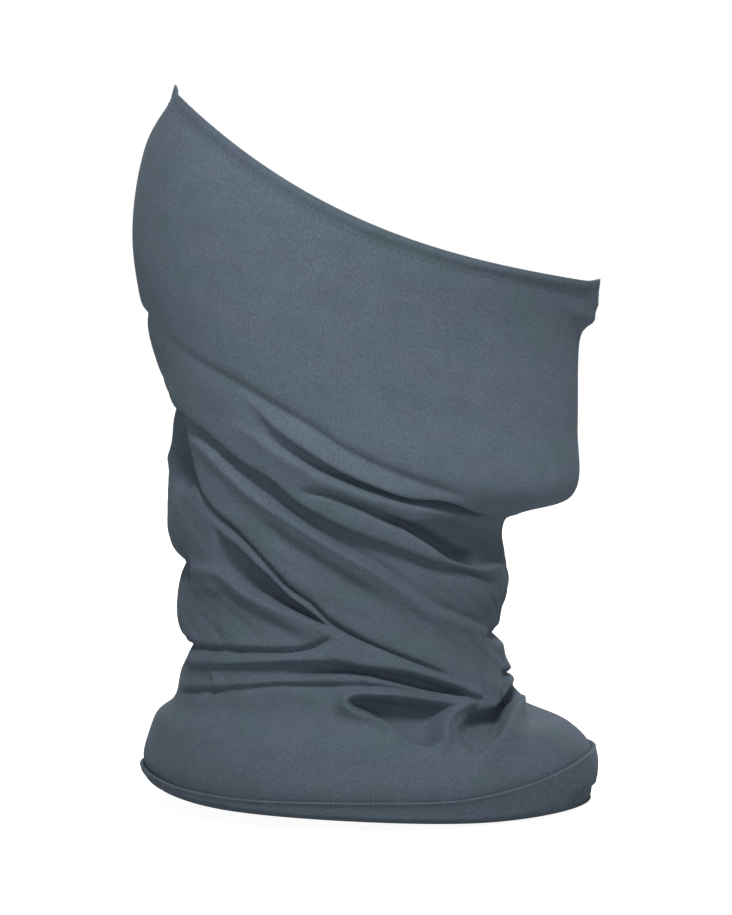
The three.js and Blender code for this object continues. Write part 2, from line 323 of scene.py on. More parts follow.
def tube_frame(angle, s):
    """The tube's point with its outward normal and the direction up the cloth."""
    step = 1e-3
    up = unit(tube_point(angle, np.minimum(s + step, 1)) - tube_point(angle, np.maximum(s - step, 0)))
    east = unit(tube_point(angle + step, s) - tube_point(angle - step, s))
    return tube_point(angle, s), unit(np.cross(east, up)), up


def share_at(angle, height):
    """The share s of the stations at which the tube reaches each height, at each angle."""
    s = np.linspace(0, 1, 400)
    heights = tube_point(angle[:, None], np.broadcast_to(s, (len(angle), len(s))))[..., 2]
    return np.array([np.interp(h, row, s) for h, row in zip(height, heights)])


def column_angles(count):
    """Angles of the columns: closest where the finest folds are, widest apart on the wearer's left."""
    angle = np.linspace(-math.pi, math.pi, 3601)
    degrees = np.degrees(angle)
    density = 0.62 + 0.38 * within(degrees, -185, 15, 20) + 0.5 * within(degrees, -110, 10, 15)
    total = running(density[1:])
    return np.interp(np.arange(count) / count * total[-1], total, angle)


def row_shares(rows):
    """Shares s of the rows: close together where the folds are and at the top edge, wider elsewhere."""
    s = np.linspace(0, 1, 1600)
    angle = np.linspace(-math.pi, math.pi, 24, endpoint=False)
    line = tube_point(angle[None, :], np.repeat(s[:, None], len(angle), 1))
    length = steps(line).mean(1)
    density = 0.4 + 0.6 * within(s, 0.17, 0.76, 0.06) + 0.6 * ease((s - 0.95) / 0.02)
    total = running(length * density[1:])
    return np.interp(np.linspace(0, total[-1], rows), total, s)


# ---- folds

REACH = 45  # no fold is felt further than this from its crest
CREST_RADIUS = 1.3
CREASE_RADIUS = 0.6
CREASE_AT = 1.5  # how many steep flanks away from its crest a fold's crease lies
DEEPEST = 13  # no fold stands out or sinks further than this


def varying(place, values):
    """One number, or a list spread evenly over places 0 to 1, at each place."""
    values = np.atleast_1d(values).astype(float)
    return np.interp(place, np.linspace(0, 1, len(values)), values)


def peak(d, up, down, radius):
    """A crest at d = 0 with a rounded tip and hollow flanks that die out over the widths up and down."""
    return np.exp(-(np.sqrt(d**2 + radius**2) - radius) / np.where(d > 0, up, down))


def fold_effect(points, f):
    """How far a fold moves each point out of the cloth, and along it towards the crease side."""
    path = np.array(f["path"], float)
    t = np.linspace(0, 1, 24 * len(path))
    angle, height = np.moveaxis(along(path, t), -1, 0)
    angle = np.radians(angle)
    line, normal, up = tube_frame(angle, share_at(angle, height))
    tangent = unit(np.gradient(line, axis=0))
    across = unit(np.cross(normal, tangent))
    if (across * up).sum() < 0:
        across = -across
    if f["crease"] == "above":
        across = -across

    near = np.all((points > line.min(0) - REACH) & (points < line.max(0) + REACH), axis=1)
    p = points[near]
    gap = (p**2).sum(1)[:, None] - 2 * p @ line.T + (line**2).sum(1)[None, :]
    i = gap.argmin(1)
    away = p - line[i]
    run = (away * tangent[i]).sum(1)
    side = (away * across[i]).sum(1)
    depth = (away * normal[i]).sum(1)
    d = np.sign(side) * np.sqrt(side**2 + depth**2)
    place = (i + run / steps(line).mean()) / (len(t) - 1)
    strength = within(place, 0, 1, f["fade"])
    above, steep, below, lap = f["above"], f["steep"], f["below"], f["lap"]
    d = d - lap * strength
    crest = peak(d, above, steep, CREST_RADIUS)
    crease = peak(d + CREASE_AT * steep, steep, below, CREASE_RADIUS)
    out = np.zeros(len(points))
    slip = np.zeros(len(points))
    out[near] = strength * (varying(place, f["rise"]) * crest - varying(place, f["drop"]) * crease)
    slip[near] = strength * lap * peak(d, above * 0.7, steep, CREST_RADIUS)
    direction = np.zeros_like(points)
    direction[near] = -across[i]
    return out, direction * slip[:, None]


def hollow_effect(angle, height, h):
    """How far a hollow sinks the cloth at each angle (in radians) and height."""
    degrees = np.degrees(angle)
    upper, lower = (np.array(sorted(h[side]), float).T for side in ("upper", "lower"))
    start, end = max(upper[0][0], lower[0][0]), min(upper[0][-1], lower[0][-1])
    ceiling, floor = np.interp(degrees, *upper), np.interp(degrees, *lower)
    place = (degrees - start) / (end - start)
    ends = within(degrees, start, end, h["fade"])
    walls = ease((height - floor) / h["bottom"]) * ease((ceiling - height) / varying(place, h["top"]))
    return varying(place, h["depth"]) * ends * walls


def smoothed(grid, times, strength=0.5):
    """Evens a closed grid (rows, columns, 3) out, leaving its first and last rows."""
    for _ in range(times):
        mean = (np.roll(grid, 1, 1) + np.roll(grid, -1, 1))[1:-1] + grid[2:] + grid[:-2]
        grid = grid.copy()
        grid[1:-1] += strength * (mean / 4 - grid[1:-1])
    return grid


def lowest_nearby(field, reach):
    """The lowest value within reach cells of each cell of a field (rows, columns) that closes round."""
    for _ in range(reach):
        field = np.minimum(field, np.minimum(np.roll(field, 1, 1), np.roll(field, -1, 1)))
        field[1:-1] = np.minimum(field[1:-1], np.minimum(field[2:], field[:-2]))
    return field


def grid_normals(grid):
    east = np.roll(grid, -1, 1) - np.roll(grid, 1, 1)
    up = np.gradient(grid, axis=0)
    return unit(np.cross(east, up))


# ---- the cloth

ANGLES = column_angles(COLUMNS)
AROUND = (ANGLES + math.pi) / (2 * math.pi)  # each column's share of the way round

# Unevenness of the cloth: how high it stands, cells round the tube, height of a cell, and its seed.
FINE_WRINKLES = [(0.35, 14, 5, 3), (0.25, 30, 2.6, 4)]
SLOW_SWELL = (0.6, 9, 38, 5)
WRINKLE_SLANT = 45  # how far a wrinkle drops on its way round, for each radian
NECK = (0.26, 0.66)  # shares of the stations that the fine wrinkles keep between

SEAM_DEGREES = 205
SEAM_RADIUS = 85  # of the tube, about, where the seam is
SEAM_GROOVE = 0.35
SEAM_GROOVE_WIDTH = 0.9

LIP = 0.9  # the rolled rim of the top edge
LIP_AT = 2.6
LIP_WIDTH = 1.8
TROUGH = 0.7  # the dip the hem's stitching pulls in below it
TROUGH_AT = 7.5
TROUGH_WIDTH = 4
TOP_EDGE = 9  # how far down the nub and the nose tip are felt
NUB = 3.6  # the seam's end stands up at the nape
NUB_SWELL = 0.8  # and is that much thicker on each face
NUB_ANGLE = 0.045  # half its width in radians
NOSE_TIP = 2.4  # the top edge turns up over the nose
NOSE_ANGLE = 0.25

HEM_RISE = 6  # how far the bottom edge climbs from the chest to the back
HEM_FRONT = 1.5  # how far it stands off the table in front
NAPE_CURL = 7  # how much further it curls up at the nape
HEM_REACH = 40  # height at which the cloth no longer follows it

UNDER_REACH = 4  # rows and columns over which the inner face stays behind the deepest fold


def cloth_grids():
    """The outer and inner faces of the whole gaiter, rows from the bottom edge to the top edge, as
    (rows, columns, 3)."""
    angle, share = np.meshgrid(ANGLES, row_shares(ROWS))
    base, normal, up = tube_frame(angle, share)
    height = base[..., 2]
    turn = np.abs(angle)

    points = base.reshape(-1, 3)
    out = np.zeros(len(points))
    slide = np.zeros_like(points)
    for f in ALL_FOLDS:
        moved_out, moved_along = fold_effect(points, f)
        out += moved_out
        slide += moved_along
    for h in ALL_HOLLOWS:
        out -= hollow_effect(angle.ravel(), height.ravel(), h)
    out = (DEEPEST * np.tanh(out / DEEPEST)).reshape(ROWS, COLUMNS)

    around = (angle + math.pi) / (2 * math.pi)
    neck = within(share, *NECK, 0.12)
    for size, cells, tall, seed in FINE_WRINKLES:
        place = (height - WRINKLE_SLANT * turn) / tall
        out += neck * size * lattice_noise(seed, around * cells, place, cells)
    size, cells, tall, seed = SLOW_SWELL
    out += size * lattice_noise(seed, around * cells, height / tall, cells)

    # The rolled rim and the stitching's dip flatten out at the nub and over the nose.
    from_top = np.vstack([np.cumsum(steps(base)[::-1], axis=0)[::-1], np.zeros(COLUMNS)])
    rim = LIP * bell(from_top, LIP_AT, LIP_WIDTH) - TROUGH * bell(from_top, TROUGH_AT, TROUGH_WIDTH)
    out += rim * (1 - bell(turn, math.pi, 0.4)) * (1 - 0.9 * bell(turn, 0, 0.35))
    from_seam = (angle - math.radians(SEAM_DEGREES - 360)) * SEAM_RADIUS
    out -= SEAM_GROOVE * bell(from_seam, 0, SEAM_GROOVE_WIDTH)

    outer = base + normal * out[..., None] + slide.reshape(base.shape)
    under = smoothed(lowest_nearby(out.copy(), UNDER_REACH)[..., None], 4)
    inner = base + normal * (np.minimum(under[..., 0], out) - CLOTH)[..., None]

    # The bottom edge climbs towards the back and curls up at the nape; the top edge has its two points.
    behind = (1 - np.cos(angle)) / 2
    lift = HEM_RISE * ease(behind * 1.3) + NAPE_CURL * behind**10 + HEM_FRONT * (1 - ease(behind / 0.3))
    lift = lift * (1 - ease(height / HEM_REACH))
    near_top = 1 - ease(from_top / TOP_EDGE)
    nub = bell(turn, math.pi, NUB_ANGLE, 4) * near_top**2
    lift += NUB * nub + NOSE_TIP * bell(angle, 0, NOSE_ANGLE) * near_top
    outer += normal * (NUB_SWELL * nub)[..., None]
    inner -= normal * (NUB_SWELL * nub)[..., None]
    for grid in (outer, inner):
        grid[..., 2] += lift

    outer = smoothed(outer, 1, 0.4)
    edge = grid_normals(outer)
    inner[0] = outer[0] - edge[0] * CLOTH
    inner[-1] = outer[-1] - edge[-1] * CLOTH
    return outer, inner


class Surface:
    """One face of the cloth, measured in millimetres from one of its edges along each column."""

    def __init__(self, grid, from_top=False):
        self.grid = grid[::-1] if from_top else grid
        normals = grid_normals(smoothed(grid, 2))
        self.normals = normals[::-1] if from_top else normals
        self.along = np.vstack([np.zeros(grid.shape[1]), np.cumsum(steps(self.grid), axis=0)])

    def at(self, column, distance, out=0.0):
        """Points at fractional columns, at each distance from the edge, moved out along the normal."""
        count = self.grid.shape[1]
        column, distance, out = np.broadcast_arrays(column, distance, out)
        left = np.floor(column).astype(int)
        share = (column - left)[..., None]
        return sum(
            weight * self.on_column(side % count, distance, out)
            for side, weight in ((left, 1 - share), (left + 1, share))
        )

    def on_column(self, column, distance, out):
        rows = (self.along[:, column] <= distance).sum(0) - 1
        rows = np.clip(rows, 0, len(self.grid) - 2)
        low, high = self.along[rows, column], self.along[rows + 1, column]
        share = ((distance - low) / (high - low))[..., None]
        point = self.grid[rows, column] * (1 - share) + self.grid[rows + 1, column] * share
        flat = np.clip(share, 0, 1)
        normal = unit(self.normals[rows, column] * (1 - flat) + self.normals[rows + 1, column] * flat)
        return point + normal * out[..., None]


# ---- the turned-up bottom hem

CUFF_GAP = 0.35
CUFF_CLOTH = 1.5
CUFF_FACE = CUFF_GAP + CUFF_CLOTH  # its outer face, from the cloth's
CUFF_INSIDE = CLOTH + CUFF_GAP
CUFF_TURN_UP = 7  # how far the hem reaches up inside
CUFF_TUCK = 2.2  # its lowest part steps in under the chin, below this height:
CUFF_TUCK_TOP = 6
CUFF_BEAD = 0.55  # the stitched bead along its rim
# Height of its rim at angles from the front.
CUFF_RIM = [(0, 23.5), (18, 22.5), (36, 18.5), (54, 13), (69, 9.6), (81, 8.4), (108, 6.4), (138, 4.6),
            (180, 4)]
# Shares of the rim's height at which the outer face has its rows.
CUFF_ROWS = (0.02, 0.1, 0.2, 0.32, 0.45, 0.58, 0.7, 0.8, 0.88, 0.94, 0.98)
CUFF_STITCH_ROW = 4


def cuff_grid(outer):
    """Sections of the hem, one for each column of the cloth: up its outer face, over the rim, down between it
    and the cloth, under the cloth's edge and up inside. (columns, points, 3), closed both ways."""
    surface = Surface(outer)
    columns = np.arange(COLUMNS)
    angle = np.degrees(np.abs(ANGLES))
    rim = np.interp(angle, *np.array(CUFF_RIM, float).T)
    rim = (np.roll(rim, 4) + np.roll(rim, -4) + 2 * rim + np.roll(rim, 8) + np.roll(rim, -8)) / 6
    rim += 0.25 * lattice_noise(12, AROUND * 23, np.zeros(COLUMNS), 23)
    tuck = CUFF_TUCK * ease(2 * (1 - angle / 40))
    swell = 0.4 * lattice_noise(13, AROUND * 17, np.zeros(COLUMNS), 17)

    profile = []
    for share in CUFF_ROWS:
        h = share * rim
        out = CUFF_FACE + swell * math.sin(share * math.pi) + CUFF_BEAD * bell(h, rim, 1.3)
        out -= tuck * ease((CUFF_TUCK_TOP - h) / 1.6) + 0.7 * (1 - ease(h / 1.2))
        profile.append((h, out))
    profile += [(rim + 0.3, CUFF_FACE - 0.1), (rim + 0.25, CUFF_FACE - 0.8), (rim - 0.4, CUFF_GAP)]
    profile += [(share * rim, CUFF_GAP) for share in (0.7, 0.35, 0.05)]
    rows = [surface.at(columns, h, out) for h, out in profile]

    # Under the cloth's edge, up inside, down again and back out below.
    edge = surface.at(columns, 0)
    down = np.array([0, 0, -1.0])
    inward = -unit(surface.at(columns, 0, 1) - edge)
    rows.append(edge + down * 0.45 + inward * 0.4)
    for h, depth in ((0.2, 0), (CUFF_TURN_UP, 0), (CUFF_TURN_UP + 0.3, 0.5), (CUFF_TURN_UP, 1), (1, 1)):
        rows.append(surface.at(columns, h, -CUFF_INSIDE - depth))
    for depth, reach in ((1.1, CUFF_INSIDE + 0.5), (1.5, 0.6), (1.35, 1.4 - CUFF_FACE)):
        rows.append(edge + down * depth + inward * reach)
    grid = np.stack(rows, 1)
    grid[..., 2] = np.maximum(grid[..., 2], 0.05)
    return grid


# ---- meshes

def to_object(name, verts, faces, materials, face_material=None, uv=None):
    """Links a smooth mesh of millimetre vertices; uv is a function of the loops' vertex indices."""
    mesh = bpy.data.meshes.new(name)
    mesh.from_pydata((np.asarray(verts) * MM).tolist(), [], faces)
    for m in materials:
        mesh.materials.append(m)
    if face_material is not None:
        mesh.polygons.foreach_set("material_index", face_material)
    if uv is not None:
        layer = mesh.uv_layers.new(name="knit")
        loops = np.zeros(len(mesh.loops), np.int32)
        mesh.loops.foreach_get("vertex_index", loops)
        layer.data.foreach_set("uv", uv(loops).astype(np.float32).ravel())
    mesh.polygons.foreach_set("use_smooth", [True] * len(mesh.polygons))
    mesh.update()
    obj = bpy.data.objects.new(name, mesh)
    bpy.context.scene.collection.objects.link(obj)
    return obj


def quads(at, rows, columns, flip=False):
    """The quads of a grid of rows and columns of cells, whose vertex indices are at(row, column)."""
    cells = [(r, c) for r in range(rows) for c in range(columns)]
    if flip:
        return [(at(r, c), at(r + 1, c), at(r + 1, c + 1), at(r, c + 1)) for r, c in cells]
    return [(at(r, c), at(r, c + 1), at(r + 1, c + 1), at(r + 1, c)) for r, c in cells]


ROUND = 500  # the tube's circumference before it is stretched


def wrapped_uv(vert_u, vert_v, faces):
    """A uv function in 100 mm units, for columns that close round: u runs 0 to 1, v in millimetres."""
    sizes = [len(f) for f in faces]
    starts = np.concatenate([[0], np.cumsum(sizes)[:-1]])
    face_of = np.repeat(np.arange(len(faces)), sizes)

    def uv(loops):
        u, v = vert_u[loops], vert_v[loops]
        highest = np.maximum.reduceat(u, starts)
        u = np.where((highest[face_of] > 0.9) & (u < 0.1), u + 1, u)
        return np.stack([u * ROUND, v], -1) / 100

    return uv


def build_cloth(outer, inner, knit, inside):
    """A closed sheet: the outer grid, an inner grid of half as many rows and columns, and the two rims."""
    rows, cols = outer.shape[:2]
    keep = np.unique(np.append(np.arange(0, rows, 2), rows - 1))
    inner = inner[keep][:, ::2]
    irows, icols = inner.shape[:2]
    verts = np.vstack([outer.reshape(-1, 3), inner.reshape(-1, 3)])
    o = lambda r, c: r * cols + c % cols
    n = lambda r, c: rows * cols + r * icols + c % icols
    faces = quads(o, rows - 1, cols)
    outer_count = len(faces)
    faces += quads(n, irows - 1, icols, flip=True)
    inner_count = len(faces) - outer_count
    for c in range(icols):
        a, b, d = (o(rows - 1, 2 * c + k) for k in range(3))
        near, far = n(irows - 1, c), n(irows - 1, c + 1)
        faces += [(a, b, near), (b, far, near), (b, d, far)]
        a, b, d = (o(0, 2 * c + k) for k in range(3))
        near, far = n(0, c), n(0, c + 1)
        faces += [(b, a, near), (b, near, far), (d, b, far)]
    which = np.zeros(len(faces), np.int32)
    which[outer_count:outer_count + inner_count] = 1

    up = running(steps(outer).mean(1))
    vert_u = np.concatenate([np.tile(AROUND, rows), np.tile(AROUND[::2], irows)])
    vert_v = np.concatenate([np.repeat(up, cols), np.repeat(up[keep], icols)])
    return to_object("cloth", verts, faces, [knit, inside], which, wrapped_uv(vert_u, vert_v, faces))


def build_band(name, grid, material):
    """A ring from sections (columns, points, 3) that closes both ways."""
    cols, points = grid.shape[:2]
    faces = quads(lambda c, p: (c % cols) * points + p % points, cols, points, flip=True)
    v = running(steps(grid, 1).mean(0))
    uv = wrapped_uv(np.repeat(AROUND, points), np.tile(v, cols), faces)
    return to_object(name, grid.reshape(-1, 3), faces, [material], uv=uv)


def build_rods(name, lines, radius, material, sides=6):
    """Short capped rods, each through the points of a line (points, 3): stitches or a sewn thread."""
    verts, faces = [], []
    for line in lines:
        line = np.asarray(line)
        tangent = unit(np.gradient(line, axis=0))
        across = unit(np.cross(tangent, [0.3, 0.2, 0.9]))
        other = np.cross(tangent, across)
        first = len(verts)
        for k, p in enumerate(line):
            narrow = 0.55 if k in (0, len(line) - 1) else 1.0
            for turn in np.arange(sides) * 2 * math.pi / sides:
                verts.append(p + narrow * radius * (across[k] * math.cos(turn) + other[k] * math.sin(turn)))
        ring = lambda k, t: first + k * sides + t % sides
        for k in range(len(line) - 1):
            faces += [(ring(k, t), ring(k, t + 1), ring(k + 1, t + 1), ring(k + 1, t)) for t in range(sides)]
        faces.append(tuple(ring(0, t) for t in reversed(range(sides))))
        faces.append(tuple(ring(len(line) - 1, t) for t in range(sides)))
    return to_object(name, verts, faces, [material])


# ---- thread, seam and label

STITCH = 2.6  # length of one stitch
STITCH_SPACE = 0.9
STITCH_POINTS = 5
STITCH_BOW = 0.3  # how far its middle stands out beyond its ends
STITCH_SUNK = 0.16  # how far its ends go into the cloth
THREAD_RADIUS = 0.22


def stitch_row(surface, distance, out):
    """Stitches in a row round the tube, each bowed out a little in its middle. distance is how far from the
    edge they lie, one number or a function of the columns."""
    columns = np.arange(0, surface.grid.shape[1], 0.25)
    if callable(distance):
        distance = distance(columns)
    loop = surface.at(columns, distance, out)
    loop = np.vstack([loop, loop[:1]])
    outward = surface.at(columns, distance, out + 1.0) - loop[:-1]
    outward = np.vstack([outward, outward[:1]])
    length = running(steps(loop))
    count = int(length[-1] / (STITCH + STITCH_SPACE))
    stitches = []
    for start in np.arange(count) * length[-1] / count:
        reach = start + np.linspace(0, STITCH, STITCH_POINTS)
        pick = lambda values: np.stack([np.interp(reach, length, values[:, k]) for k in range(3)], -1)
        bow = np.sin(np.linspace(0, math.pi, STITCH_POINTS))[:, None]
        stitches.append(pick(loop) + pick(outward) * (STITCH_BOW * bow - STITCH_SUNK))
    return stitches


def zigzag_row(surface, distance, out, width, pitch):
    """One thread that zigzags along a row, as a looper thread does on the inside of a hem."""
    columns = surface.grid.shape[1]
    row = surface.at(np.arange(columns), distance, out)
    count = int(steps(row).sum() / pitch) * 4
    place = np.arange(count) / count * columns
    wave = np.sin(np.arange(count) * math.pi / 2) * width / 2
    line = surface.at(place, distance + wave, out)
    return [np.vstack([line, line[:1]])]


COLUMN_WIDTH = 1.5  # distance between columns at the seam

SEAM_WIDTH = 5.0
SEAM_THICKNESS = 1.1  # in its middle
SEAM_SIDES = 0.35  # at its sides
SEAM_CLEAR = 0.5
SEAM_MARGIN = 9  # how far it stops from both edges of the cloth
SEAM_PITCH = 1.3  # from one loop of its thread to the next
SEAM_RIB = 0.22
SEAM_TAPER = 7  # rows that it takes to reach full width at each end
SEAM_POINTS = 7  # across it

LABEL_LOW, LABEL_HIGH = 15, 36
LABEL_WIDTH = 15
LABEL_THICKNESS = 0.45
LABEL_ROWS, LABEL_COLUMNS = 12, 14
LABEL_CLEAR = 1.9
LABEL_CURL = 1.6


def column_of(degrees):
    """The fractional column at an angle."""
    turned = (degrees + 180) % 360 - 180
    return float(np.interp(math.radians(turned), ANGLES, np.arange(COLUMNS)))


def row_on(surface, columns, height):
    """A row of points on a surface and the normals there."""
    heights = np.full(len(columns), height)
    row = surface.at(columns, heights)
    east = surface.at(columns + 1, heights) - row
    return row, unit(np.cross(east, surface.at(columns, heights + 1) - row))


def build_seam(inner, material):
    """The overlocked allowances of the back seam: a ribbed strip lying on the inner face, bottom to top,
    drawn out to a point at both ends."""
    spine = Surface(inner)
    middle = column_of(SEAM_DEGREES)
    across = np.linspace(-1, 1, SEAM_POINTS)
    crown = ((1 - across**2)[:, None]) ** 0.5
    length = spine.along[-1, int(middle)]
    heights = np.arange(SEAM_MARGIN, length - SEAM_MARGIN, SEAM_PITCH)
    verts, faces = [], []
    for k, h in enumerate(heights):
        end = min(1, (1 + min(k, len(heights) - 1 - k)) / SEAM_TAPER)
        half = SEAM_WIDTH / 2 / COLUMN_WIDTH * end * (1 + 0.06 * (k % 2))
        thickness = (SEAM_THICKNESS - SEAM_SIDES + SEAM_RIB * (k % 2)) * end * crown
        row, normal = row_on(spine, middle + across * half, h)
        near = row - normal * SEAM_CLEAR
        far = row - normal * (SEAM_CLEAR + SEAM_SIDES + thickness)
        verts += list(near) + list(far[::-1])
    ring = 2 * SEAM_POINTS
    last = (len(heights) - 1) * ring
    faces += quads(lambda k, p: k * ring + p % ring, len(heights) - 1, ring)
    for p in range(SEAM_POINTS - 1):
        faces.append((p + 1, p, ring - 1 - p, ring - 2 - p))
        faces.append((last + p, last + p + 1, last + ring - 2 - p, last + ring - 1 - p))
    return to_object("back_seam", verts, faces, [material])


def build_label(inner, material):
    """A blank satin label, caught in the seam at one side and curling a little off the cloth."""
    spine = Surface(inner)
    u = np.linspace(0, 1, LABEL_COLUMNS)
    columns = column_of(SEAM_DEGREES) + 1.5 + u * LABEL_WIDTH / COLUMN_WIDTH
    near, far = [], []
    for h in np.linspace(LABEL_LOW, LABEL_HIGH, LABEL_ROWS):
        row, normal = row_on(spine, columns, h)
        curl = LABEL_CLEAR + LABEL_CURL * u**2 + 0.5 * np.sin(u * 5 + h / 6)
        near += list(row - normal * curl[:, None])
        far += list(row - normal * (curl + LABEL_THICKNESS)[:, None])
    a = lambda r, c: r * LABEL_COLUMNS + c
    b = lambda r, c: len(near) + a(r, c)
    top, right = LABEL_ROWS - 1, LABEL_COLUMNS - 1
    faces = quads(a, top, right) + quads(b, top, right, flip=True)
    for c in range(right):
        faces.append((a(0, c + 1), a(0, c), b(0, c), b(0, c + 1)))
        faces.append((a(top, c), a(top, c + 1), b(top, c + 1), b(top, c)))
    for r in range(top):
        faces.append((a(r, 0), a(r + 1, 0), b(r + 1, 0), b(r, 0)))
        faces.append((a(r + 1, right), a(r, right), b(r, right), b(r + 1, right)))
    return to_object("care_label_satin", near + far, faces, [material])


# ---- materials

class Nodes:
    """Short names for building a node tree."""

    def __init__(self, name):
        self.material = bpy.data.materials.new(name)
        self.material.use_nodes = True
        self.tree = self.material.node_tree
        self.bsdf = self.tree.nodes["Principled BSDF"]

    def add(self, kind, inputs=None, **settings):
        node = self.tree.nodes.new(kind)
        for key, value in settings.items():
            setattr(node, key, value)
        for key, value in (inputs or {}).items():
            self.set(node.inputs[key], value)
        return node

    def set(self, socket, value):
        if isinstance(value, bpy.types.NodeSocket):
            self.tree.links.new(value, socket)
        else:
            socket.default_value = value

    def finish(self, **values):
        """Sets the shader's inputs: Base_Color=... for Base Color."""
        for key, value in values.items():
            self.set(self.bsdf.inputs[key.replace("_", " ")], value)
        return self.material

    def math(self, operation, a, b=0.0):
        return self.add("ShaderNodeMath", {0: a, 1: b}, operation=operation).outputs[0]

    def noise(self, vector, scale, detail=2.0, roughness=0.5):
        inputs = {"Vector": vector, "Scale": scale, "Detail": detail, "Roughness": roughness}
        return self.add("ShaderNodeTexNoise", inputs).outputs["Fac"]

    def stretched(self, vector, x, y):
        return self.add("ShaderNodeMapping", {"Vector": vector, "Scale": (x, y, 1)}).outputs[0]

    def between(self, value, low, high, to_low, to_high):
        inputs = {"Value": value, "From Min": low, "From Max": high, "To Min": to_low, "To Max": to_high}
        return self.add("ShaderNodeMapRange", inputs).outputs[0]

    def times(self, a, b):
        return self.add("ShaderNodeVectorMath", {0: a, 1: b}, operation="MULTIPLY").outputs[0]

    def product(self, value, *factors):
        for factor in factors:
            value = self.math("MULTIPLY", value, factor)
        return value

    def tinted(self, colour, value):
        base = self.add("ShaderNodeRGB").outputs[0]
        base.default_value = colour
        return self.times(base, value)

    def wave(self, vector, scale, distortion, direction="X", **inputs):
        inputs = {"Vector": vector, "Scale": scale, "Distortion": distortion, **inputs}
        return self.add("ShaderNodeTexWave", inputs, bands_direction=direction).outputs["Fac"]

    def bump(self, height, strength, distance):
        inputs = {"Height": height, "Strength": strength, "Distance": distance}
        return self.add("ShaderNodeBump", inputs).outputs[0]


def linear(r, g, b):
    """A colour in sRGB steps, as a shader takes it."""
    def one(c):
        c /= 255
        return c / 12.92 if c <= 0.04045 else ((c + 0.055) / 1.055) ** 2.4
    return (one(r), one(g), one(b), 1)


YARN = linear(98, 111, 123)
THREAD = linear(88, 100, 112)
SATIN = linear(222, 222, 216)

WALE = 100 / 0.6 / 6.283  # wave scale of columns of stitches 0.6 mm apart, in 100 mm units
COURSE = 100 / 0.5 / 6.283  # and of rows 0.5 mm apart
# Painted light and shade by height: from and to levels up the cloth in 100 mm, and the painted shade factor
# at each.
PAINTED_SHADE_BELOW_JAW = (1.4, 2.3, 0.79, 1.05)
PAINTED_SHADE_AT_TOP = (2.4, 3.3, 1.0, 0.86)
HUE_DRIFT = 0.05  # share by which patches of the yarn lean to teal or to plum


def knit_material(name, shade):
    """Heather jersey. The pattern is laid out in 100 mm units on the cloth before it is stretched."""
    n = Nodes(name)
    at = n.add("ShaderNodeUVMap", uv_map="knit").outputs[0]
    fibre = n.noise(n.stretched(at, 120, 60), 1.0, 3.0, 0.7)
    speck = n.noise(n.stretched(at, 150, 90), 1.0, 1.0)
    blotch = n.noise(at, 9.0, 3.0, 0.6)
    streak = n.noise(n.stretched(at, 30, 4), 1.0, 2.0)
    value = n.product(n.between(fibre, 0.25, 0.75, 0.74, 1.26), n.between(blotch, 0.3, 0.7, 0.94, 1.06),
                      n.between(streak, 0.3, 0.7, 0.97, 1.03))
    value = n.math("ADD", value, n.between(speck, 0.62, 0.76, 0.0, 0.40))
    # Painted light and shade: the knit is painted a little lighter over the face, darker on the neck and
    # skirt below the jaw, and darker towards the top edge.
    level = n.add("ShaderNodeSeparateXYZ", {"Vector": at}).outputs["Y"]
    value = n.product(value, n.between(level, *PAINTED_SHADE_BELOW_JAW), n.between(level, *PAINTED_SHADE_AT_TOP), shade)
    plum = n.between(n.noise(at, 3.5, 3.0, 0.6), 0.35, 0.65, 1 - HUE_DRIFT, 1 + HUE_DRIFT)
    drift = n.add("ShaderNodeCombineXYZ", {"X": plum, "Y": 1.0, "Z": plum}).outputs[0]
    colour = n.times(n.tinted(YARN, value), drift)
    wandering = {"Detail": 1.0, "Detail Scale": 3.0}
    wale = n.wave(at, WALE, 1.5, **wandering)
    course = n.wave(at, COURSE, 2.0, "Y", **wandering)
    relief = n.math("ADD", n.product(wale, 0.6), n.product(course, 0.4))
    relief = n.math("ADD", relief, n.product(fibre, 1.6))
    return n.finish(
        Base_Color=colour, Roughness=n.between(fibre, 0.2, 0.8, 0.82, 0.98), Sheen_Weight=0.1,
        Sheen_Roughness=0.45, Sheen_Tint=(0.75, 0.85, 1, 1), Specular_IOR_Level=0.2,
        Normal=n.bump(relief, 0.5, 0.00012))


def thread_material():
    """Twisted polyester thread."""
    n = Nodes("thread")
    at = n.add("ShaderNodeTexCoord").outputs["Object"]
    twist = n.wave(at, 500.0, 2.0, "DIAGONAL")
    uneven = n.between(n.noise(at, 60.0), 0.3, 0.7, 0.93, 1.07)
    value = n.product(n.between(twist, 0, 1, 0.82, 1.12), uneven)
    return n.finish(Base_Color=n.tinted(THREAD, value), Roughness=n.between(twist, 0, 1, 0.5, 0.7),
                    Sheen_Weight=0.1, Normal=n.bump(twist, 0.4, 0.00008))


def satin_material():
    """Woven satin: fine close floats across, with a soft gleam."""
    n = Nodes("label_satin")
    at = n.add("ShaderNodeTexCoord").outputs["Object"]
    floats = n.wave(at, 700.0, 0.6, "Z")
    mottled = n.noise(at, 300.0, 2.0)
    value = n.product(n.between(floats, 0, 1, 0.9, 1.03), n.between(mottled, 0.3, 0.7, 0.95, 1.03))
    return n.finish(Base_Color=n.tinted(SATIN, value), Roughness=n.between(mottled, 0.3, 0.7, 0.35, 0.5),
                    Sheen_Weight=0.2, Normal=n.bump(floats, 0.3, 0.00005))


# ---- stage

AMBIENT = 0.25  # light from all round
FLOOR_GLOW = 0.94  # how much of the floor's white the camera sees whatever falls on it
FLOOR_SIZE = 12
FLOOR_DROP = 0.0002  # how far the floor lies under the hem
